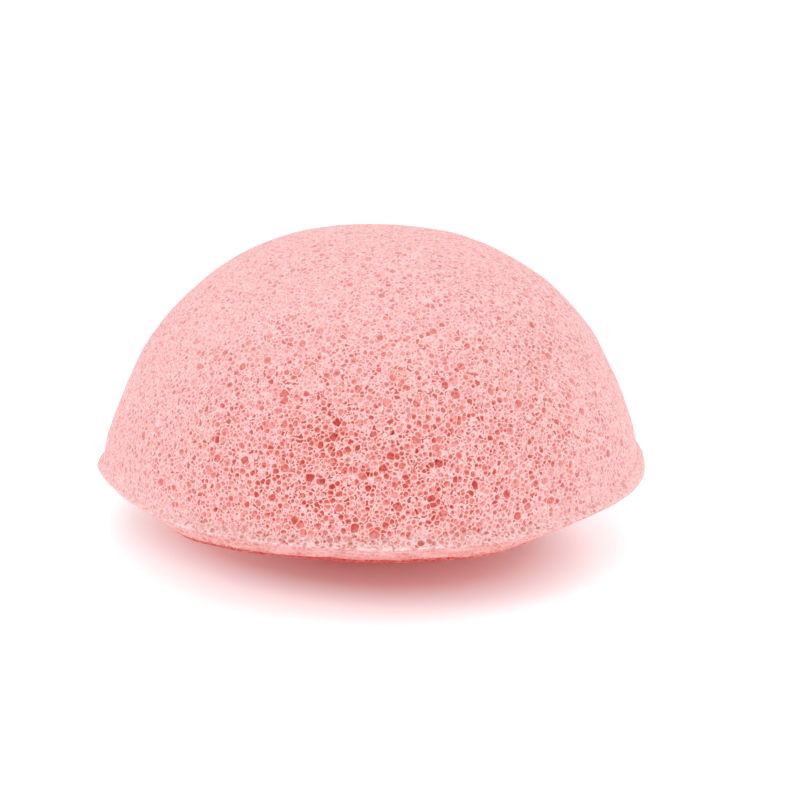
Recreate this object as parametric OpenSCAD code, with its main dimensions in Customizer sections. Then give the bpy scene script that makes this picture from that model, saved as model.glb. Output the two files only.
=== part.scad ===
// Half-ball konjac sponge, a small moulded foam pad for washing the face.
// It was cast dome down in an open bowl. The foam filled the bowl, ran a little way over its
// rim, which left the lip, and crowned above it, where it closed with a smooth skin. The
// sponge lies turned over: dome up, resting on the middle of that crowned underside.
// Units are millimetres, +Z is up, and the origin is the middle of the flat it rests on.

/* [Overall size] */
// Width of the sponge across its lip
sponge_w = 74; // [62:1:88]
// Height from the surface that it rests on to the top of the dome
sponge_h = 42; // [36:1:52]

/* [Dome] */
// Fullness of the dome's sides: 2 is a plain ellipse, more stands up straighter
side_share = 2.44; // [2:0.01:3]
// Roundness of the dome's top: 2 is a plain ellipse, less leans in from the lip sooner
top_share = 1.65; // [1.4:0.01:2.2]

/* [Lip] */
// Height of the lip's outermost edge above the surface that the sponge rests on
lip_z = 11; // [8:0.5:14]
// Thickness of the lip, from its upper to its lower side
lip_t = 3.2; // [2:0.1:4.5]
// How far the lip stands out past the foot of the dome
lip_out = 0.9; // [0.4:0.1:1.4]
// How far the dense foam of the lip reaches in from its outermost edge
lip_depth = 4.5; // [3:0.1:8]

/* [Underside] */
// Thickness of the smooth cast skin
skin_t = 1.6; // [0.9:0.1:2.5]
// Depth of the flat where the sponge's weight presses the skin on the surface
rest_cut = 0.5; // [0.3:0.1:0.8]

/* [Hidden] */

// How far a cutting solid runs past the face that it cuts
overrun = 1;
// Steps along each rounded outline, and facets around the sponge
outline_steps = 30;
lip_steps = 12;
$fn = 180;

// Radius of the lip's outermost edge, and of the foot of the dome just inside it
rim_r = sponge_w / 2;
dome_r = rim_r - lip_out;
// Height of the dome above the middle of the lip
dome_h = sponge_h - lip_z;
// Lower and upper side of the lip, and the radius that its dense foam reaches in to
lip_low_z = lip_z - lip_t / 2;
lip_top_z = lip_z + lip_t / 2;
lip_in_r = rim_r - lip_depth;
// The underside is part of a ball: how far it crowns below the lip, the ball's radius from
// that crown and the dome's foot, and the height of the ball's centre
crown_h = lip_low_z + rest_cut;
crown_r = (dome_r * dome_r + crown_h * crown_h) / (2 * crown_h);
crown_z = crown_r - rest_cut;

// Point of the dome's outline at angle a, from its foot at 0 to its top at 90 degrees.
// Radius and height run as the cosine and sine of a, each raised to 2 over its fullness.
function dome_point(a) = [
    dome_r * pow(cos(a), 2 / side_share),
    lip_z + dome_h * pow(sin(a), 2 / top_share)
];

// Point of the lip's outer edge at angle b, from its lower side at -90 to its upper at 90:
// half an ellipse, as thick as the lip and standing out as far as it does
function lip_point(b) = [
    dome_r + lip_out * cos(b),
    lip_z + lip_t / 2 * sin(b)
];

// The whole dome, closed flat at the height of the lip's outermost edge
module dome() {
    rotate_extrude()
        polygon([
            [0, lip_z],
            for (i = [0 : outline_steps - 1]) dome_point(90 * i / outline_steps),
            [0, sponge_h]
        ]);
}

// The ball that the underside is part of, drawn in by a given depth below its surface
module crown_ball(depth) {
    translate([0, 0, crown_z])
        sphere(r = crown_r - depth);
}

// A disc of a given radius between two heights
module slab(r, low_z, high_z) {
    translate([0, 0, low_z])
        cylinder(r = r, h = high_z - low_z);
}

// Open-celled foam: the dome, and its depth down to the skin of the underside
module foam_body() {
    color("#f2b0a9")
        union() {
            intersection() {
                dome();
                slab(rim_r, lip_top_z, sponge_h + overrun);
            }
            slab(lip_in_r, lip_low_z, lip_top_z);
            intersection() {
                crown_ball(skin_t);
                slab(rim_r, -rest_cut, lip_low_z);
            }
        }
}

// Dense rounded lip, where the foam ran out over the rim of the bowl
module rim_lip() {
    color("#f8c6c0")
        rotate_extrude()
            polygon([
                [lip_in_r, lip_low_z],
                for (i = [0 : lip_steps]) lip_point(180 * i / lip_steps - 90),
                [lip_in_r, lip_top_z]
            ]);
}

// Smooth skin over the crowned underside, pressed flat where the sponge rests
module base_skin() {
    color("#e89d96")
        intersection() {
            difference() {
                crown_ball(0);
                crown_ball(skin_t);
            }
            slab(rim_r, 0, lip_low_z);
        }
}

foam_body();
rim_lip();
base_skin();
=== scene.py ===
import bpy
import numpy as np
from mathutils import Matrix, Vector


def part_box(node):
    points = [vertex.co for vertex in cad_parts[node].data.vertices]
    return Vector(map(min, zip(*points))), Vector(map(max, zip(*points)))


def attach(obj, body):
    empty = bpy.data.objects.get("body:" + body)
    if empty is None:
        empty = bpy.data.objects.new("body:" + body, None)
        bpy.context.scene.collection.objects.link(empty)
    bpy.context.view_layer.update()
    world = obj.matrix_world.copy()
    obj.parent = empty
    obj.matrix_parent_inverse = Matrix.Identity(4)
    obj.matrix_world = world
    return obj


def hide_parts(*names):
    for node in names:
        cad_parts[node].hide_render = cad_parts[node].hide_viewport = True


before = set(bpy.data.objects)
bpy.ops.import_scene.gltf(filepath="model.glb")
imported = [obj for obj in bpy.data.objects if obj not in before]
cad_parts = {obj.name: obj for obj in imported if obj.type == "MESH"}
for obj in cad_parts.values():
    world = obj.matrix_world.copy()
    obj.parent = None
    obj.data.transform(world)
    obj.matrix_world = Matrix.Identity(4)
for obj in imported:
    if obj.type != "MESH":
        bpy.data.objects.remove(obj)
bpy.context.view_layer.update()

# Open foam of the dome
# The real piece is the mass of the sponge: plant-fibre jelly whipped full of bubbles, set in
# a bowl-shaped mould and washed out, so that its surface is a net of thin pale walls round
# thousands of open cells. It is one moulding with the lip and the underside.

# Lengths are in millimetres, and turn to metres where a mesh or a material is made.
MM = 0.001

lip_box = [np.array(corner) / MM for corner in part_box("rim_lip")]
skin_box = [np.array(corner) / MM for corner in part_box("base_skin")]
foam_box = [np.array(corner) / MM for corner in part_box("foam_body")]
RIM_R = lip_box[1][0]
LIP_LOW_Z, LIP_TOP_Z = lip_box[0][2], lip_box[1][2]
LIP_Z = (LIP_LOW_Z + LIP_TOP_Z) / 2
DOME_R = skin_box[1][0]
TOP_Z = foam_box[1][2]
# Fullness of the dome's sides and roundness of its top, as in the solid
SIDE_SHARE, TOP_SHARE = 2.44, 1.65
# Height at which the dome's own surface ends, behind the lip
FOOT_Z = LIP_TOP_Z - 0.9
# Cells along each side of the dome's grid
DOME_CELLS = 880
# Share of a colour chart that the seen side fills, and the gap to the strip of the hidden side
HIDDEN_STRIP, CHART_GAP = 0.985, 0.003


def disc_grid(cells):
    """A square grid bent into a disc. The square's rings become circles: the larger of the two
    coordinates is the share of the radius, and their ratio times 45 degrees is the angle from
    that side's middle. Returns share, angle, quads, the square's own 0 to 1 chart and the rim."""
    line = np.linspace(-1, 1, cells + 1)
    a, b = np.meshgrid(line, line, indexing="ij")
    flat = np.abs(a) >= np.abs(b)
    share = np.where(flat, a, b)
    safe = np.where(share == 0, 1, share)
    angle = np.where(flat, np.pi / 4 * b / safe, np.pi / 2 - np.pi / 4 * a / safe)
    angle = angle + np.where(share < 0, np.pi, 0)
    index = np.arange((cells + 1) ** 2).reshape(cells + 1, cells + 1)
    quads = np.stack([index[:-1, :-1], index[1:, :-1], index[1:, 1:], index[:-1, 1:]], -1)
    sides = index[-1, :-1], index[::-1, -1][:-1], index[0, ::-1][:-1], index[:-1, 0]
    chart = np.stack([(a + 1) / 2, (b + 1) / 2], -1).reshape(-1, 2)
    return np.abs(share).ravel(), angle.ravel(), quads.reshape(-1, 4), chart, np.concatenate(sides)


def along(outline, shares):
    """Points at shares of the length of an outline given as radius and height, and the normal
    on its left there, from the outline's own slope."""
    step = np.hypot(*np.diff(outline, axis=0).T)
    length = np.concatenate([[0], np.cumsum(step)])
    at = shares * length[-1]
    slope = np.gradient(outline, length, axis=0)
    radius, height, out, up = (
        np.interp(at, length, column)
        for column in (outline[:, 0], outline[:, 1], -slope[:, 1], slope[:, 0])
    )
    size = np.hypot(out, up)
    return radius, height, np.stack([out / size, up / size], -1)


def around(radius, height, normal, angle):
    """Turns points of a profile and their normals about the upright axis."""
    ring = np.stack([np.cos(angle), np.sin(angle)], -1)
    points = np.column_stack([ring * radius[..., None], height])
    return points, np.column_stack([ring * normal[:, :1], normal[:, 1]])


def close_off(rim, angle, outline, first):
    """Rings of points that lead from a surface's rim along an outline, given as radius and
    height, to a point on the axis: the side of a piece that its neighbours hide. Returns the
    points, the quads and triangles, and their charts in a strip above the surface's own."""
    count, rings = len(rim), len(outline) - 1
    ring = np.stack([np.cos(angle), np.sin(angle)], -1)
    points = [np.column_stack([ring * r, np.full(count, z)]) for r, z in outline[:-1]]
    points.append([[0, 0, outline[-1][1]]])
    rows = np.vstack([rim, first + np.arange(count * rings).reshape(rings, count)])
    after = np.roll(rows, -1, axis=1)
    quads = np.stack([rows[:-1], rows[1:], after[1:], after[:-1]], -1).reshape(-1, 4)
    tris = np.stack([rows[-1], np.full(count, first + count * rings), after[-1]], -1)
    low = HIDDEN_STRIP + CHART_GAP
    u, v = np.meshgrid(np.arange(count) / count, np.linspace(low, 1, rings + 2)[:-1])
    wide, tall = 1 / count, (1 - low) / (rings + 1)
    square = [(0, 0), (0, tall), (wide, tall), (wide, 0)]
    places = np.stack([u, v], -1)
    quad_chart = (places[:-1, :, None] + square).reshape(-1, 2)
    tri_chart = (places[-1][:, None] + [(0, 0), (wide / 2, tall), (wide, 0)]).reshape(-1, 2)
    return np.vstack(points), quads, tris, np.vstack([quad_chart, tri_chart])


def smooth(low, high, value):
    """0 below low, 1 above high, and an S-shaped rise between them."""
    t = np.clip((value - low) / (high - low), 0, 1)
    return t * t * (3 - 2 * t)


def hill(middle, width, value):
    """1 where the value is at the middle, and a rounded fall to 0 on both sides of it."""
    return np.exp(-(((value - middle) / width) ** 2))


# The space that noise and bubbles fill: the sponge's box with a margin all round
SPACE_MARGIN = 4
SPACE_LOW = np.array([-RIM_R, -RIM_R, 0]) - SPACE_MARGIN
SPACE_SIZE = np.array([2 * RIM_R, 2 * RIM_R, TOP_Z]) + 2 * SPACE_MARGIN


def drift(points, size, seed, parts=3):
    """Smooth noise: random numbers from -1 to 1 at the corners of cubes of a given size, and
    an S-shaped blend of the eight corners inside each cube. Each use has a seed of its own."""
    counts = np.ceil(SPACE_SIZE / size).astype(int) + 2
    grid = np.random.default_rng(seed).uniform(-1, 1, (*counts, parts))
    place = (points - SPACE_LOW) / size
    cube = np.clip(np.floor(place).astype(int), 0, counts - 2)
    t = smooth(0, 1, place - cube)
    total = np.zeros((len(points), parts))
    for corner in np.ndindex(2, 2, 2):
        weight = np.prod(np.where(np.array(corner), t, 1 - t), axis=1, keepdims=True)
        total += weight * grid[tuple((cube + corner).T)]
    return total


def patchy(points, size, seed):
    """Smooth noise as one number for each point."""
    return drift(points, size, seed, 1)[:, 0]


def swell(points, middle, width):
    """A rounded hill of height 1 about a middle."""
    return np.exp(-(((points - middle) / width) ** 2).sum(1))


# What makes this sponge fuller or leaner than the solid, as in the photograph: height, middle
# and width of a fuller right shoulder and top, a leaner left shoulder and right side, and on
# the left a foot that stands out under a wall that is drawn in
SWELLS = [
    (0.30, (22, -2, 34), 11),
    (0.38, (-9, 2, 42), 11),
    (-0.06, (-25, -2, 31), 13),
    (-0.35, (34, -2, 23), 8),
    (0.50, (-36, -2, 13), 6),
    (-0.45, (-34, -2, 20.5), 4),
]
# The point that they swell away from, and the height above which the foam gives freely
SWELL_FROM = (0, 0, 14)
FREE_Z = 7
# How far smooth noise of a given size moves the foam
WANDER, WANDER_SIZE = 0.22, 17
# How far the lip sags in front on the right, where, and how widely
SAG, SAG_MIDDLE, SAG_WIDTH = 0.4, (20, -28, 11), 15


def settle(points):
    """The slow unevenness of a soft piece, the same for all of its zones: smooth noise, the
    swells, and a lip that sags in front on the right. The rest face stays flat."""
    moved = WANDER * drift(points, WANDER_SIZE, 41)
    out = points - SWELL_FROM
    out = out / np.maximum(np.linalg.norm(out, axis=1, keepdims=True), 1)
    full = sum(height * swell(points, middle, width) for height, middle, width in SWELLS)
    moved += out * full[:, None]
    moved[:, 2] -= SAG * swell(points, SAG_MIDDLE, SAG_WIDTH)
    return points + moved * smooth(0, FREE_Z, points[:, 2])[:, None]


# Steps from a cube of space to itself and its 26 neighbours
NEAR = np.stack(np.meshgrid(*[[-1, 0, 1]] * 3, indexing="ij"), -1).reshape(-1, 3)
# Above 1, small bubbles are commoner than large ones
SMALL_BIAS = 1.3
# The measure of a place that holds no bubble, farther off than any bubble
NO_BUBBLE = 1e6


def bubbles(spacing, small, large, present_share, seed):
    """Bubbles of one range of sizes. Space is cut into cubes of a given spacing, and each cube
    holds one bubble at a random place with a random radius, or none."""
    draw = np.random.default_rng(seed)
    counts = np.ceil(SPACE_SIZE / spacing).astype(int) + 1
    total = int(np.prod(counts))
    place = draw.random((total, 3), dtype=np.float32)
    radius = small + (large - small) * draw.random(total, dtype=np.float32) ** SMALL_BIAS
    radius[draw.random(total, dtype=np.float32) > present_share] = np.nan
    return spacing, counts, place, radius.astype(np.float32), draw.random(total, dtype=np.float32)


def two_nearest(points, foam):
    """For each point the two bubbles whose surfaces are nearest, by the squared distance to the
    centre less the squared radius. Returns centre, radius, openness and that measure of both."""
    found = []
    for spacing, counts, place, radius, opened in foam:
        cube = np.floor((points - SPACE_LOW) / spacing).astype(np.int32)
        near = np.clip(cube[:, None, :] + NEAR, 0, counts - 1)
        index = (near[..., 0] * counts[1] + near[..., 1]) * counts[2] + near[..., 2]
        centre = ((near + place[index]) * spacing + SPACE_LOW).astype(np.float32)
        size = radius[index]
        measure = ((points[:, None, :].astype(np.float32) - centre) ** 2).sum(-1) - size**2
        measure[np.isnan(measure)] = NO_BUBBLE
        found.append((measure, centre, size, opened[index]))
    measure, centre, size, opened = (np.concatenate(x, 1) for x in zip(*found))
    pick = np.argpartition(measure, 1, axis=1)[:, :2]
    order = np.argsort(np.take_along_axis(measure, pick, 1), axis=1)
    pick = np.take_along_axis(pick, order, 1)
    flat = [np.take_along_axis(x, pick, 1) for x in (size, opened, measure)]
    return np.take_along_axis(centre, pick[..., None], 1), *flat


# How many points are worked on at a time, to spare memory
POINTS_AT_A_TIME = 20000
# Half the thickness of the wall between two cells, and what the cell's radius adds to it
HALF_WALL, WALL_SHARE = 0.025, 0.06
# How far a cell is hollowed out past its bubble, and how round its corners are, by its radius
CELL_GROWTH, CORNER_SHARE = 1.25, 0.45
# Depth of a closed cell's floor, what an open cell adds to it, by the radius, and the least
CLOSED_DEPTH, OPEN_DEPTH, LEAST_DEPTH = 0.18, 1.05, 1e-3
# Painted shade of a cell's floor: how dark it is painted by its depth, and how much more so under the
# cell's upper side, where light from above does not reach
FLOOR_SHADE, UPPER_SHADE = 0.32, 0.5


def cut_cells(points, normals, foam, rise, size_share=1, open_share=1):
    """Depth of the open cells below a surface. A cell is hollow inside its bubble, grown a
    little, and short of the flat wall to the next one, with rounded corners. Its floor is
    where a line straight down leaves the bubble, or a film across it where it is closed.
    rise is the width of a cell's edge. Returns the depth, how far inside its cell a point is, and the
    painted shade of its colour: darker by the floor's depth against the cell's width, right up to the
    cell's edge, and darker still under the cell's upper side, where light from above does not reach."""
    depth, inside, hollow = np.zeros((3, len(points)))
    size_share, open_share = (np.broadcast_to(x, len(points)) for x in (size_share, open_share))
    for start in range(0, len(points), POINTS_AT_A_TIME):
        part = slice(start, start + POINTS_AT_A_TIME)
        centre, radius, opened, measure = two_nearest(points[part], foam)
        apart = np.linalg.norm(centre[:, 1] - centre[:, 0], axis=1)
        half_way = (measure[:, 1] - measure[:, 0]) / (2 * apart)
        to_wall = half_way - HALF_WALL - WALL_SHARE * radius[:, 0]
        offset = points[part] - centre[:, 0]
        above = (offset * normals[part]).sum(1)
        ball = radius[:, 0] * CELL_GROWTH * size_share[part]
        to_ball = ball - np.linalg.norm(offset, axis=1)
        round_off = CORNER_SHARE * radius[:, 0]
        mix = np.clip(0.5 + 0.5 * (to_ball - to_wall) / round_off, 0, 1)
        edge = to_ball * (1 - mix) + to_wall * mix - round_off * mix * (1 - mix)
        aside2 = (offset**2).sum(1) - above**2
        floor = np.clip(above + np.sqrt(np.clip(ball**2 - aside2, 0, None)), 0, None)
        most = ball * (CLOSED_DEPTH + OPEN_DEPTH * opened[:, 0] ** 2) * open_share[part]
        most = np.maximum(most, LEAST_DEPTH)
        floor = most * (1 - np.exp(-floor / most))
        depth[part] = floor * smooth(0, rise, edge)
        # Painted shade: the floor is painted darker under the cell's upper side, which keeps light
        # from above off it.
        upper = (offset[:, 2] - above * normals[part][:, 2]) / ball
        shade = FLOOR_SHADE * floor / ball * (1 + UPPER_SHADE * np.clip(upper, -1, 1))
        hollow[part] = shade * smooth(-0.03, 0.02, edge)
        inside[part] = edge
    return depth, inside, hollow


# Spacing, least and greatest radius, share of places that hold a bubble, and seed
BIG_CELLS = [bubbles(1.15, 0.34, 0.62, 0.26, 11), bubbles(0.64, 0.16, 0.36, 0.7, 12)]
SMALL_CELLS = [bubbles(0.37, 0.11, 0.22, 1.0, 13)]
# Width of the edge of big and of small cells, and the depth from which a floor has windows
BIG_RISE, SMALL_RISE = 0.12, 0.08
WINDOW_DEPTH = 0.12
# How deep small cells and windows are cut, as a share of what their bubbles give
FINE_SHARE, WINDOW_SHARE = 0.3, 0.8
# Height of a crest, how far outside its cell it stands, and how wide it is
CREST_HEIGHT, CREST_OFF, CREST_WIDTH = 0.035, 0.05, 0.045
# How fast the painted shade in the cells darkens and levels off
DARKENING = 2.3


def foam_skin(points, normals, coarse, foot):
    """Cuts big cells, then small ones in what is left between them, then the windows through
    which a big cell's floor opens on the next layer. Coarse foam has larger and deeper cells,
    and they shrink towards the lip, where foot falls below 1. The cells' places are shaken by
    smooth noise, so that no wall is straight, and a thin crest stands up round each big cell.
    Returns the points and the hollow and edge marks; the hollow mark is the cells' painted shade.
    Small holes are painted darker than large ones, and the painted shade levels off with depth."""
    size_share = (0.79 + 0.32 * coarse) * foot**0.15
    open_share = (0.34 + 0.95 * coarse) * foot
    shaken = points + 0.10 * drift(points, 0.8, 21) + 0.04 * drift(points, 0.3, 22)
    deep, deep_edge, deep_shade = cut_cells(
        shaken, normals, BIG_CELLS, BIG_RISE, size_share, open_share
    )
    fine, _, fine_shade = cut_cells(
        shaken, normals, SMALL_CELLS, SMALL_RISE, size_share, open_share
    )
    between = smooth(0.02, 0.09, -deep_edge)
    floor = deep > WINDOW_DEPTH
    window, _, window_shade = cut_cells(
        (shaken - normals * deep[:, None])[floor], normals[floor], SMALL_CELLS, SMALL_RISE
    )
    clear = smooth(0.08, 0.15, deep_edge[floor])
    deep[floor] += WINDOW_SHARE * window * clear
    deep_shade[floor] += 1.4 * window_shade * clear
    depth = np.maximum(deep, FINE_SHARE * fine * between)
    fine_shade *= (1.1 + 1.3 * open_share) * between
    hollow = 1 - np.exp(-DARKENING * np.maximum(deep_shade, fine_shade))
    crest = CREST_HEIGHT * hill(-CREST_OFF, CREST_WIDTH, deep_edge) * open_share
    lumps = 0.10 * patchy(points, 4, 23) + 0.04 * patchy(points, 1.1, 24) - 0.09
    return points + normals * (lumps + crest - depth)[:, None], hollow, deep_edge


def coarseness(points):
    """How coarse the foam is, from 0 to 1: coarsest low down in front, as in the photograph,
    less so behind, finest at the top and the sides, and uneven everywhere."""
    x, y, z = points.T
    low_down = np.exp(-((x / 31) ** 2) - ((z - 19) / 15) ** 2)
    low_down = low_down * (0.4 + 0.6 * smooth(10, -25, y))
    patches = 0.08 * patchy(points, 9, 31) + 0.06 * patchy(points, 25, 32)
    patches += 0.12 * swell(points, (-2, -35, 13), 10) - 0.16 * swell(points, (-20, -19, 31), 11)
    return np.clip(0.23 + 0.57 * low_down + patches - 0.11 * smooth(28, 41, z), 0, 1)


def dark_share(points, coarse):
    """How strongly the cells' painted shade shows: by how coarse they are, and less at the sides."""
    return np.clip(coarse - 0.24 * smooth(14, 34, np.abs(points[:, 0])), 0, 1)


def openness(points):
    """How open the cells are near the lip: 1 on the dome, and little on the lip's ridge."""
    ragged = points[:, 2] + 0.5 * patchy(points, 1.8, 33)
    return 0.25 + 0.75 * smooth(LIP_Z - 0.5, LIP_Z + 1.2, ragged)


# The outline from the top to the foot: radius and height run as the cosine and sine of an
# angle, each raised to 2 over its fullness, as in the solid
dome_t = np.linspace(np.pi / 2, 0, 600)
dome_outline = np.stack(
    [
        DOME_R * np.cos(dome_t) ** (2 / SIDE_SHARE),
        LIP_Z + (TOP_Z - LIP_Z) * np.sin(dome_t) ** (2 / TOP_SHARE),
    ],
    -1,
)
dome_outline[0, 0] = 0
dome_outline = dome_outline[dome_outline[:, 1] > FOOT_Z]

share, angle, dome_quads, dome_chart, dome_rim = disc_grid(DOME_CELLS)
# The rings lie closer together towards the foot, where the cells show most
share = share * (1 + 0.25 * (1 - share))
points, normals = around(*along(dome_outline, share), angle)
coarse = coarseness(points)
strength = dark_share(points, coarse)
# The foot whitens just above the lip, along a ragged line
ragged_z = points[:, 2] + 1.0 * patchy(points, 2.2, 34)
pale = 0.55 * smooth(LIP_Z + 2.6, LIP_Z + 0.6, ragged_z)
points, hollow, edge = foam_skin(points, normals, coarse, openness(points))
# The hidden side lies on the skin of the underside: radius and height, from the foot inwards
under_outline = [(34.3, 11.4), (32.6, 10.6), (32.2, 9.6), (24, 6.8), (16, 4.4), (8, 2.6), (0, 2.0)]
under_points, under_quads, under_tris, under_chart = close_off(
    dome_rim, angle[dome_rim], under_outline, len(points)
)


def mesh_piece(name, points, quads, tris, corner_chart, marks):
    """Makes an object from points in millimetres, quads and triangles, with a flat chart for
    its colours given corner by corner and named numbers at its points, smooth shaded."""
    loops = np.concatenate([quads.ravel(), tris.ravel()]).astype(np.int32)
    starts = np.concatenate(
        [np.arange(0, quads.size, 4), np.arange(quads.size, quads.size + tris.size, 3)]
    ).astype(np.int32)
    mesh = bpy.data.meshes.new(name)
    mesh.vertices.add(len(points))
    mesh.vertices.foreach_set("co", (points * MM).astype(np.float32).ravel())
    mesh.loops.add(len(loops))
    mesh.loops.foreach_set("vertex_index", loops)
    mesh.polygons.add(len(starts))
    mesh.polygons.foreach_set("loop_start", starts)
    mesh.polygons.foreach_set("use_smooth", np.ones(len(starts), bool))
    layer = mesh.uv_layers.new(name="OFBake")
    layer.uv.foreach_set("vector", corner_chart.astype(np.float32).ravel())
    for label, values in marks.items():
        mark = mesh.attributes.new(label, "FLOAT", "POINT")
        mark.data.foreach_set("value", values.astype(np.float32))
    mesh.update(calc_edges=True)
    piece = bpy.data.objects.new(name, mesh)
    bpy.context.scene.collection.objects.link(piece)
    return piece


def with_hidden(values, count, hidden):
    """A mark's values on a surface, and one value on its hidden side."""
    return np.concatenate([values, np.full(count, hidden)])


# The marks say how dark the painted shade in a point's cell is, how far inside its cell the point is,
# how whitish, and how strongly its painted shade shows.
hidden_count = len(under_points)
foam_body = mesh_piece(
    "foam_body_cells",
    settle(np.vstack([points, under_points])),
    np.vstack([dome_quads, under_quads]),
    under_tris,
    np.vstack([dome_chart[dome_quads.ravel()] * (1, HIDDEN_STRIP), under_chart]),
    {
        "hollow": with_hidden(hollow, hidden_count, 0.1),
        "edge": with_hidden(edge, hidden_count, 1),
        "pale": with_hidden(pale, hidden_count, 0),
        "strength": with_hidden(strength, hidden_count, 0),
    },
)


class Wire:
    """A node socket with arithmetic: each operation on it adds a Math node."""

    def __init__(self, finish, socket):
        self.finish, self.socket = finish, socket

    def _math(self, operation, *values):
        return self.finish.node("ShaderNodeMath", {"operation": operation}, values)

    def __add__(self, other):
        return self._math("ADD", self, other)

    __radd__ = __add__

    def __sub__(self, other):
        return self._math("SUBTRACT", self, other)

    def __rsub__(self, other):
        return self._math("SUBTRACT", other, self)

    def __mul__(self, other):
        return self._math("MULTIPLY", self, other)

    __rmul__ = __mul__


class Finish:
    """The nodes of a material or of the world: one method adds any node, settings first, then
    its inputs, and another links or sets a socket."""

    def __init__(self, owner, shader="Principled BSDF"):
        owner.use_nodes = True
        self.nodes = owner.node_tree.nodes
        self.links = owner.node_tree.links
        self.shader = self.nodes[shader]

    def put(self, socket, value):
        """Gives a socket a value, or a link if the value is a wire."""
        if isinstance(value, Wire):
            self.links.new(value.socket, socket)
        else:
            socket.default_value = value

    def set(self, **values):
        """Sets the shader's own inputs, named with _ for a space."""
        for key, value in values.items():
            self.put(self.shader.inputs[key.replace("_", " ")], value)

    def node(self, kind, settings=None, values=(), out=0):
        """Adds a node and returns one of its outputs, by number or name. values is a list in
        the sockets' order or a dict by their names or numbers."""
        made = self.nodes.new(kind)
        for key, value in (settings or {}).items():
            if key == "stops":
                ramp = made.color_ramp
                while len(ramp.elements) < len(value):
                    ramp.elements.new(0.5)
                for element, (place, color) in zip(ramp.elements, value):
                    element.position = place
                    element.color = color
            else:
                setattr(made, key, value)
        pairs = values.items() if isinstance(values, dict) else enumerate(values)
        for key, value in pairs:
            self.put(made.inputs[key], value)
        return Wire(self, made.outputs[out])

    def mark(self, name):
        """The numbers that a mesh carries under this name."""
        return self.node("ShaderNodeAttribute", {"attribute_name": name}, out=2)

    def between(self, low, high, value):
        """0 below low, 1 above high, and an S-shaped rise between them."""
        return self.node(
            "ShaderNodeMapRange",
            {"interpolation_type": "SMOOTHSTEP"},
            {"Value": value, "From Min": low, "From Max": high},
        )

    def blend(self, share, first, second):
        """The first colour at share 0 and the second at share 1."""
        colours = {0: share, 6: first, 7: second}
        return self.node("ShaderNodeMix", {"data_type": "RGBA"}, colours, out=2)

    def noise(self, place, size, detail=2.0, out=0):
        """Smooth noise about 0.5, with features of a given size in metres. Output 1 is three
        such numbers as a colour."""
        values = {"Vector": place, "Scale": 1 / size, "Detail": detail}
        return self.node("ShaderNodeTexNoise", values=values, out=out)


def tone(*rgb):
    """A screen colour from 0 to 255 as the linear light that shaders take, with alpha."""
    c = np.array(rgb) / 255
    return *(float(v) for v in np.where(c <= 0.04045, c / 12.92, ((c + 0.055) / 1.055) ** 2.4)), 1.0


def cell_net(foam, place, size):
    """A net of cells finer than the mesh can hold. Returns the distance to the nearest wall as
    a share of the cells' size, and a random number from 0 to 1 for each cell."""
    scale = {"Vector": place, "Scale": 1 / size}
    to_wall = foam.node("ShaderNodeTexVoronoi", {"feature": "DISTANCE_TO_EDGE"}, scale)
    cell = foam.node("ShaderNodeTexVoronoi", {"feature": "F1"}, scale, out=1)
    return to_wall, foam.node("ShaderNodeSeparateColor", values=[cell])


# Size of the cells of the two nets, and over what length and how far their walls wander
NET_SIZE, FINE_NET_SIZE = 0.75 * MM, 0.38 * MM
STIR_SIZE, STIR_REACH = 0.6 * MM, 0.25 * MM
# Size of the mottling of the shade and of the pale fibres, and the height of the bump
MOTTLE_SIZE, FIBRE_SIZE = 0.30 * MM, 0.7 * MM
BUMP_HEIGHT = 0.05 * MM


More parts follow.
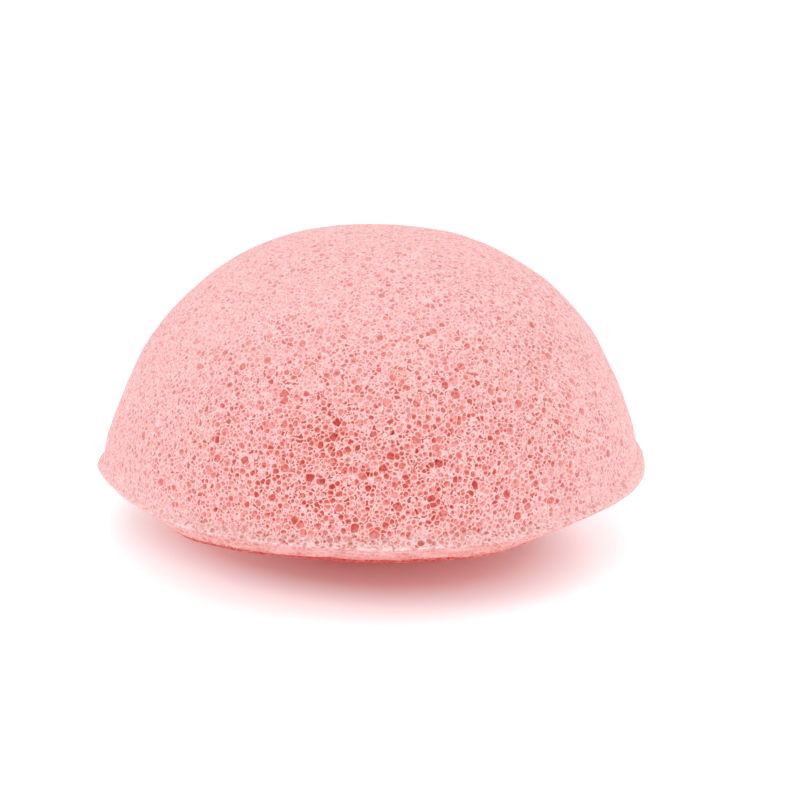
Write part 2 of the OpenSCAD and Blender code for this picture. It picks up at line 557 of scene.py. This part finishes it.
def foam_finish(name, stops, wall_tone, pale_tone, pore_shade_tone, net_share):
    """Matte moist foam. Colour follows the hollow mark, the cells' painted shade, times how strongly
    that shade shows, from the pale pink of the walls to coral red, with the walls' thin crests paler
    still as a painted highlight. Cells too small for the mesh are two nets of dark specks of painted
    shade in the walls and, fainter, on the floors of the cut cells, with pale lines along the walls of
    the larger net. Whitish fibres lie over all of it where the pale mark says so."""
    material = bpy.data.materials.new(name)
    foam = Finish(material)
    hollow, edge = foam.mark("hollow"), foam.mark("edge")
    place = foam.node("ShaderNodeTexCoord", out=3)
    stir = foam.noise(place, STIR_SIZE, 1.0, out=1)
    stirred = foam.node(
        "ShaderNodeVectorMath",
        {"operation": "MULTIPLY_ADD"},
        [stir, (STIR_REACH,) * 3, place],
    )
    strength = foam.mark("strength") * 1.05 + 0.41
    mottle = foam.noise(place, MOTTLE_SIZE) - 0.5
    shade = (hollow * 0.9 + mottle * 0.5 + 0.16) * strength - 0.05
    colour = foam.node("ShaderNodeValToRGB", {"stops": stops}, [shade])
    to_wall, chance = cell_net(foam, stirred, NET_SIZE)
    pit = foam.between(0.11, 0.19, to_wall) * foam.between(0.2, 0.9, chance)
    line = 1 - foam.between(0.03, 0.09, to_wall)
    to_wall, chance = cell_net(foam, stirred, FINE_NET_SIZE)
    speck = foam.between(0.12, 0.22, to_wall) * foam.between(0.3, 1.0, chance)
    pit = (pit + speck * 0.95 * (1 - pit)) * net_share * strength
    # The thin crests round the cut cells get a painted highlight in the walls' pale tone.
    outside = 1 - foam.between(-0.13, -0.08, edge)
    crest = (1 - outside) * (1 - foam.between(-0.04, -0.01, edge))
    net = outside * line * strength * (0.65 * net_share)
    colour = foam.blend(crest * 0.8 + net, colour, wall_tone)
    # The specks are painted shade in cells too small for the mesh.
    pit = pit * (outside + foam.between(-0.01, 0.05, edge) * 0.6)
    colour = foam.blend(pit * 0.85, colour, pore_shade_tone)
    fibres = foam.between(0.45, 0.62, foam.noise(place, FIBRE_SIZE, 3.0))
    colour = foam.blend(foam.mark("pale") * fibres * 0.8, colour, pale_tone)
    relief = {"Strength": 0.1, "Distance": BUMP_HEIGHT, "Height": 1 - pit}
    bump = foam.node("ShaderNodeBump", values=relief)
    foam.set(Base_Color=colour, Normal=bump, Roughness=0.6, Specular_IOR_Level=0.25)
    return material


# The cells' painted shade runs from the pale pink of the walls to coral red deep in a cell.
foam_stops = [
    (0.0, tone(255, 200, 200)),
    (0.12, tone(251, 181, 179)),
    (0.35, tone(244, 154, 148)),
    (0.62, tone(236, 124, 113)),
    (1.0, tone(220, 86, 74)),
]
wall_tone, pale_tone, pore_shade_tone = tone(255, 217, 217), tone(255, 220, 220), tone(198, 82, 72)
open_foam = foam_finish("open_foam", foam_stops, wall_tone, pale_tone, pore_shade_tone, 1.0)
foam_body.data.materials.append(open_foam)
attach(foam_body, "root")
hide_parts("foam_body")

# Rolled lip
# The real lip is where the foam ran out over the mould's rim: a dense rounded edge, ragged and
# whitish where it meets the open cells, with a thin smooth band below its ridge in front. It is
# one moulding with the dome and the underside.
LIP_STEPS = 1800
LIP_ROWS = 42
# Radius that the roll starts from, and radius of its ridge
LIP_IN_R, RIDGE_R = 35.2, 37.05
# How full its round is, and how much fuller on the right
LIP_ROUND, RIGHT_ROUND = 1.4, 1.4
# Height of the roll above its ridge, depth below it at the sides, and what the band adds there
ROLL_RISE, ROLL_DROP, BAND_DROP = 1.75, 0.5, 1.9
# The two sides as angles from the front
RIGHT, LEFT = np.pi / 2, -np.pi / 2


def hang(from_front):
    """How far the lip hangs below its ridge, from 0 at both sides, where it hardly does, to 1
    in front, where a band shows, by the angle from the front in radians, right side positive."""
    ahead = smooth(-1.0, -0.65, from_front) * smooth(1.05, 0.3, from_front)
    return ahead + 0.7 * smooth(1.9, 2.6, np.abs(from_front))


def angle_from_front(x, y):
    """The angle about the upright axis from the front, right side positive."""
    return np.arctan2(x, -y)


# Round the lip, by angle: it sags a little at both sides, stands tallest on the right, with the full
# bulge of the photograph, and comes to a small point on the left. A line of painted shade where it
# ends below is darkest left of the front.
way = np.linspace(0, 2 * np.pi, LIP_STEPS, endpoint=False)
ring_points = np.column_stack([RIM_R * np.cos(way), RIM_R * np.sin(way), np.full(LIP_STEPS, LIP_Z)])
uneven = drift(ring_points, 6, 51)
from_front = angle_from_front(ring_points[:, 0], ring_points[:, 1])
on_right = hill(RIGHT, 0.5, from_front)
on_left = smooth(-0.6, -0.9, from_front) * smooth(-2.4, -1.9, from_front)
left_side = hill(LEFT, 0.4, from_front)
left_tip = hill(-1.5, 0.2, from_front)
under_lip_shade = 0.15 + 0.85 * smooth(-0.9, -0.5, from_front) * smooth(0.5, 0.1, from_front)
sag = 0.35 * on_right + 0.25 * left_side
rise = ROLL_RISE + 0.75 * on_right + 0.3 * left_side + 0.35 * uneven[:, 0]
drop = ROLL_DROP + BAND_DROP * hang(from_front)
reach = RIDGE_R - LIP_IN_R + 0.10 * uneven[:, 1] - 0.6 * on_left + 0.7 * left_tip

# Across the roll, from 1 at its upper end over 0 at the ridge to -1 at its lower end, it stands
# out by 1 less that share raised to its fullness.
across, at = np.meshgrid(np.linspace(1, -1, LIP_ROWS), np.arange(LIP_STEPS))
across, at = across.ravel(), at.ravel()
lift = np.where(across > 0, rise[at], drop[at])
power = LIP_ROUND + RIGHT_ROUND * on_right[at] * (across > 0)
lip_r = LIP_IN_R + reach[at] * (1 - np.abs(across) ** power) - 0.6 * smooth(0.75, 1, across)
lip_z = LIP_Z - sag[at] + lift * across
slope_r = -reach[at] * power * np.abs(across) ** (power - 1) * np.sign(across)
out = np.stack([lift, -slope_r], -1)
out = out / np.linalg.norm(out, axis=1, keepdims=True)
points, normals = around(lip_r, lip_z, out, way[at])

# The band below the ridge is smooth in front. There its colour comes from streaks along it and from
# painted shade, as it faces down: darker all over, and darker towards its lower edge.
front = hill(0, 0.85, angle_from_front(points[:, 0], points[:, 1]))
band = smooth(0.05, -0.12, across + 0.10 * patchy(points, 2.5, 52))
band = band * np.clip(0.25 + front + 0.5 * patchy(points, 12, 53), 0, 1)
coarse = coarseness(points)
strength = dark_share(points, coarse)
foot = np.maximum(openness(points), 0.5 - 0.4 * front) * (1 - 0.93 * band)
points, hollow, edge = foam_skin(points, normals, coarse, foot)
streaks = patchy(points * (0.6, 0.6, 4), 1.0, 54)
lumps = patchy(points, 3, 55) * smooth(0.1, -0.5, across)
points += normals * (0.08 * streaks * (0.3 + 0.7 * band) + 0.12 * lumps)[:, None]
hollow += band * (0.38 + 0.42 * streaks + 0.24 * smooth(-0.15, -0.8, across))
# Painted shade: darker at the roll's upper end, where it tucks in under the dome's foot, and a dark
# red line where the lip ends below.
hollow += 0.5 * smooth(0.66, 0.9, across) + 3.4 * under_lip_shade[at] * smooth(-0.70, -0.85, across)
edge = edge - band
strength = strength * (1 - 0.9 * band)
ridge = hill(0.03 + 0.06 * uneven[at, 2], 0.08, across)
pale = 2.2 * ridge * (0.2 + 0.8 * front) + 0.35 * smooth(-0.05, 0.1, across)

# Four rings close the lip inside the dome's foot: radius and height, from below. The lowest
# follows the lip's lower end, so that no gap opens under it.
fold_z = 9.6 + 1.2 * (1 - hang(from_front))
inner_rows = [(34.2, fold_z), (33.2, 10.8), (33.2, 11.8), (34.2, 12.6)]
inner = [
    np.column_stack([r * np.cos(way), r * np.sin(way), np.full(LIP_STEPS, z)]) for r, z in inner_rows
]
points = points.reshape(LIP_STEPS, LIP_ROWS, 3)
points = np.concatenate([points, np.stack(inner, 1)], 1)
total_rows = LIP_ROWS + len(inner_rows)
index = np.arange(LIP_STEPS * total_rows).reshape(LIP_STEPS, total_rows)
right, below = np.roll(index, -1, axis=0), np.roll(index, -1, axis=1)
lip_quads = np.stack([index, below, np.roll(right, -1, axis=1), right], -1).reshape(-1, 4)
no_tris = np.zeros((0, 3), int)
# The seen rows fill most of the colour chart, and the inner ones share the rest.
seen = HIDDEN_STRIP - 0.05
edges = np.concatenate([np.linspace(0, seen, LIP_ROWS), np.linspace(seen, 1, len(inner_rows) + 2)[1:]])
u, v = np.meshgrid(np.arange(LIP_STEPS) / LIP_STEPS, edges[:-1], indexing="ij")
v_next = np.broadcast_to(edges[1:], v.shape)
u_next = u + 1 / LIP_STEPS
lip_chart = np.stack([u, v, u, v_next, u_next, v_next, u_next, v], -1).reshape(-1, 2)


def lip_mark(values, hidden):
    """A mark's values on the lip's outer rows, and one value on its hidden ones."""
    rows = values.reshape(LIP_STEPS, LIP_ROWS)
    return np.hstack([rows, np.full((LIP_STEPS, len(inner_rows)), hidden)]).ravel()


rim_lip = mesh_piece(
    "rim_lip_roll",
    settle(points.reshape(-1, 3)),
    lip_quads,
    no_tris,
    lip_chart,
    {
        "hollow": lip_mark(hollow, 0.1),
        "edge": lip_mark(edge, 1),
        "pale": lip_mark(pale, 0),
        "strength": lip_mark(strength, 0),
    },
)
# The lip's tones: the middle ones a little deeper than the dome's, partly painted shade for the band
# below the ridge, which faces down, and the darkest the dark red of the painted shade where the lip
# ends below.
lip_stops = [
    (0.0, tone(254, 199, 198)),
    (0.12, tone(243, 179, 176)),
    (0.35, tone(223, 145, 138)),
    (0.62, tone(224, 106, 96)),
    (1.0, tone(186, 46, 38)),
]
lip_foam = foam_finish("lip_foam", lip_stops, wall_tone, pale_tone, pore_shade_tone, 0.7)
rim_lip.data.materials.append(lip_foam)
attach(rim_lip, "root")
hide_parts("rim_lip")

# Skin of the underside
# The real underside crowned freely above the mould as the foam set, so it closed with a thin
# smooth skin that is broken only by scattered small bubbles, and the sponge's weight presses
# its middle flat. It is one moulding with the rest.
SKIN_CELLS = 330
# Radius of the flat that it rests on, and how deep that is pressed into the crown
REST_R, REST_CUT = 8.4, 0.5
# How much leaner than a ball it is half way out, and how far its sides are drawn up
LEANER, DRAWN_UP = 1.2, 2.0
SKIN_BUBBLES = [bubbles(1.2, 0.16, 0.42, 0.75, 61)]
SKIN_RISE = 0.10

# The crown is part of the solid's ball, and a little leaner half way out.
crown_h = LIP_LOW_Z + REST_CUT
crown_r = (DOME_R**2 + crown_h**2) / (2 * crown_h)
skin_r = np.linspace(0, DOME_R - 0.6, 400)
skin_z = crown_r - REST_CUT - np.sqrt(crown_r**2 - skin_r**2)
skin_z = np.maximum(skin_z, 0) + LEANER * smooth(REST_R, 18, skin_r) * smooth(DOME_R, 28, skin_r)
skin_outline = np.stack([skin_r, skin_z], -1)

share, angle, skin_quads, skin_chart, skin_rim = disc_grid(SKIN_CELLS)
points, normals = around(*along(skin_outline, share), angle)
normals = -normals
coarse = coarseness(points)
shaken = points + 0.15 * drift(points, 0.9, 62)
size_share, open_share = 0.8 + 0.3 * coarse, 0.8
depth, edge, hollow = cut_cells(
    shaken, normals, SKIN_BUBBLES, SKIN_RISE, size_share, open_share
)
hollow += 0.08 * patchy(points, 6, 65)
# Where the lip hardly hangs, at the sides, the skin's outer part is drawn up under it.
raised = 1 - hang(angle_from_front(points[:, 0], points[:, 1]))
points[:, 2] += DRAWN_UP * raised * smooth(22, 35, np.hypot(points[:, 0], points[:, 1]))
wrinkles = 0.10 * patchy(points, 3.2, 63) + 0.05 * patchy(points, 0.8, 64)
off_rest = smooth(REST_R - 1, REST_R + 2, np.hypot(points[:, 0], points[:, 1]))
points = points - normals * (depth + np.abs(wrinkles) * off_rest)[:, None]
# The hidden side lies under the open foam: radius and height, from the rim inwards
inner_outline = [(34.6, 11.0), (31.5, 9.8), (24, 6.8), (16, 4.2), (8, 2.2), (0, 1.8)]
inner_points, inner_quads, inner_tris, inner_chart = close_off(
    skin_rim, angle[skin_rim], inner_outline, len(points)
)
hidden_count = len(inner_points)
# Faces are turned over here, corners and charts alike, so that they point down and outwards.
quad_chart = inner_chart[: inner_quads.size].reshape(-1, 4, 2)
tri_chart = inner_chart[inner_quads.size :].reshape(-1, 3, 2)
base_skin = mesh_piece(
    "base_skin_crown",
    settle(np.vstack([points, inner_points])),
    np.vstack([skin_quads[:, ::-1], inner_quads[:, ::-1]]),
    inner_tris[:, ::-1],
    np.vstack(
        [
            skin_chart[skin_quads[:, ::-1].ravel()] * (1, HIDDEN_STRIP),
            quad_chart[:, ::-1].reshape(-1, 2),
            tri_chart[:, ::-1].reshape(-1, 2),
        ]
    ),
    {
        "hollow": with_hidden(hollow, hidden_count, 0.1),
        "edge": with_hidden(edge, hidden_count, 1),
        "pale": with_hidden(0 * hollow, hidden_count, 0),
        "strength": with_hidden(coarse, hidden_count, 0),
    },
)
# The underside's tones are redder and deeper than the dome's, partly painted shade: deepened so that
# the shade under the sponge comes out darker.
skin_stops = [
    (0.0, tone(252, 178, 173)),
    (0.12, tone(250, 162, 156)),
    (0.35, tone(243, 130, 122)),
    (0.62, tone(232, 98, 89)),
    (1.0, tone(214, 70, 60)),
]
skin_wall_tone = tone(254, 200, 197)
skin_foam = foam_finish("skin_foam", skin_stops, skin_wall_tone, pale_tone, pore_shade_tone, 0.6)
base_skin.data.materials.append(skin_foam)
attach(base_skin, "root")
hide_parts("base_skin")

# Stage
# A plain white table under even soft light, and the camera where the photograph's was. From
# here on, lengths are in metres unless they carry MM.
TABLE_HALF = 3.0
floor_mesh = bpy.data.meshes.new("table")
floor_mesh.from_pydata(
    [(x * TABLE_HALF, y * TABLE_HALF, 0) for x, y in ((-1, -1), (1, -1), (1, 1), (-1, 1))],
    [],
    [(0, 1, 2, 3)],
)
floor = bpy.data.objects.new("table", floor_mesh)
bpy.context.scene.collection.objects.link(floor)
floor_white = bpy.data.materials.new("table_white")
table = Finish(floor_white)
table.set(Roughness=0.9, Specular_IOR_Level=0.1)
# Painted light on the table: its emission paints a pink glow into the shade under the sponge, and
# round it a painted white glow makes the white as bright as in the photograph, where it is a little
# overexposed. Both follow a turned ellipse on the table: its middle, its turn in radians, and its size
# where the ramp reaches 1.
shade_middle = (-4.5 * MM, 4 * MM, 0)
shade_turn = (0, 0, -0.75)
shade_size = (86 * MM, 60 * MM, 60 * MM)
in_shade = table.node(
    "ShaderNodeMapping",
    {"vector_type": "TEXTURE"},
    [table.node("ShaderNodeTexCoord", out=3), shade_middle, shade_turn, shade_size],
)
from_middle = table.node("ShaderNodeVectorMath", {"operation": "LENGTH"}, [in_shade], out=1)
glow_stops = [
    (0.20, (0.10, 0.00, 0.00, 1)),
    (0.33, (0.06, 0.01, 0.01, 1)),
    (0.40, (0.10, 0.16, 0.18, 1)),
    (0.47, (0.23, 0.33, 0.36, 1)),
    (0.55, (0.35, 0.39, 0.41, 1)),
    (1.00, (0.14, 0.14, 0.14, 1)),
]
glow = table.node("ShaderNodeValToRGB", {"stops": glow_stops}, [from_middle])
table.set(Base_Color=(0.97, 0.97, 0.97, 1), Emission_Color=glow, Emission_Strength=1.0)
floor_mesh.materials.append(floor_white)

# Everything is lit by the world, a little less than white. Rays that show it see plain white.
LIGHT_LEVEL = 0.89
world = bpy.data.worlds.new("studio")
bpy.context.scene.world = world
sky = Finish(world, "Background")
camera_ray, glossy_ray, clear_ray = (
    sky.node("ShaderNodeLightPath", out=f"Is {kind} Ray")
    for kind in ("Camera", "Glossy", "Transmission")
)
seen_white = sky.between(0, 1, camera_ray + glossy_ray + clear_ray)
sky.set(Color=(1, 1, 1, 1), Strength=seen_white * (1 - LIGHT_LEVEL) + LIGHT_LEVEL)

# One soft square lamp above and in front, aimed at the middle of the sponge, shapes the dome.
LAMP_PLACE, LAMP_AIM = Vector((0.0, -0.28, 0.85)), Vector((0, 0, 0.02))
lamp = bpy.data.lights.new("top_light", "AREA")
lamp.size = 0.6
lamp.energy = 1.1
lamp_holder = bpy.data.objects.new("top_light", lamp)
lamp_holder.location = LAMP_PLACE
lamp_holder.rotation_euler = (LAMP_AIM - LAMP_PLACE).to_track_quat("-Z", "Y").to_euler()
bpy.context.scene.collection.objects.link(lamp_holder)

# The camera looks down at an angle in degrees, from a distance to a point on the axis. In the
# frame, this scale and these pixels are where the photograph has the sponge and that point.
CAMERA_UP, CAMERA_FAR = 16.34, 0.320
AIM_Z = 0.020
PIXELS_PER_MM = 7.389
AIM_X_PX, AIM_Y_PX = 372.2, 393.2
FRAME_PX, SENSOR_MM = 800, 36
up = np.radians(CAMERA_UP)
cam = bpy.data.cameras.new("camera")
cam.sensor_width = SENSOR_MM
cam.lens = PIXELS_PER_MM / MM * CAMERA_FAR * SENSOR_MM / FRAME_PX
camera = bpy.data.objects.new("camera", cam)
aside = (FRAME_PX / 2 - AIM_X_PX) / PIXELS_PER_MM * MM
below = (FRAME_PX / 2 - AIM_Y_PX) / PIXELS_PER_MM * MM
camera.location = (
    aside,
    -CAMERA_FAR * np.cos(up) - below * np.sin(up),
    AIM_Z + CAMERA_FAR * np.sin(up) - below * np.cos(up),
)
camera.rotation_euler = (np.pi / 2 - up, 0, 0)
bpy.context.scene.collection.objects.link(camera)
bpy.context.scene.camera = camera
bpy.context.scene.view_settings.view_transform = "Standard"
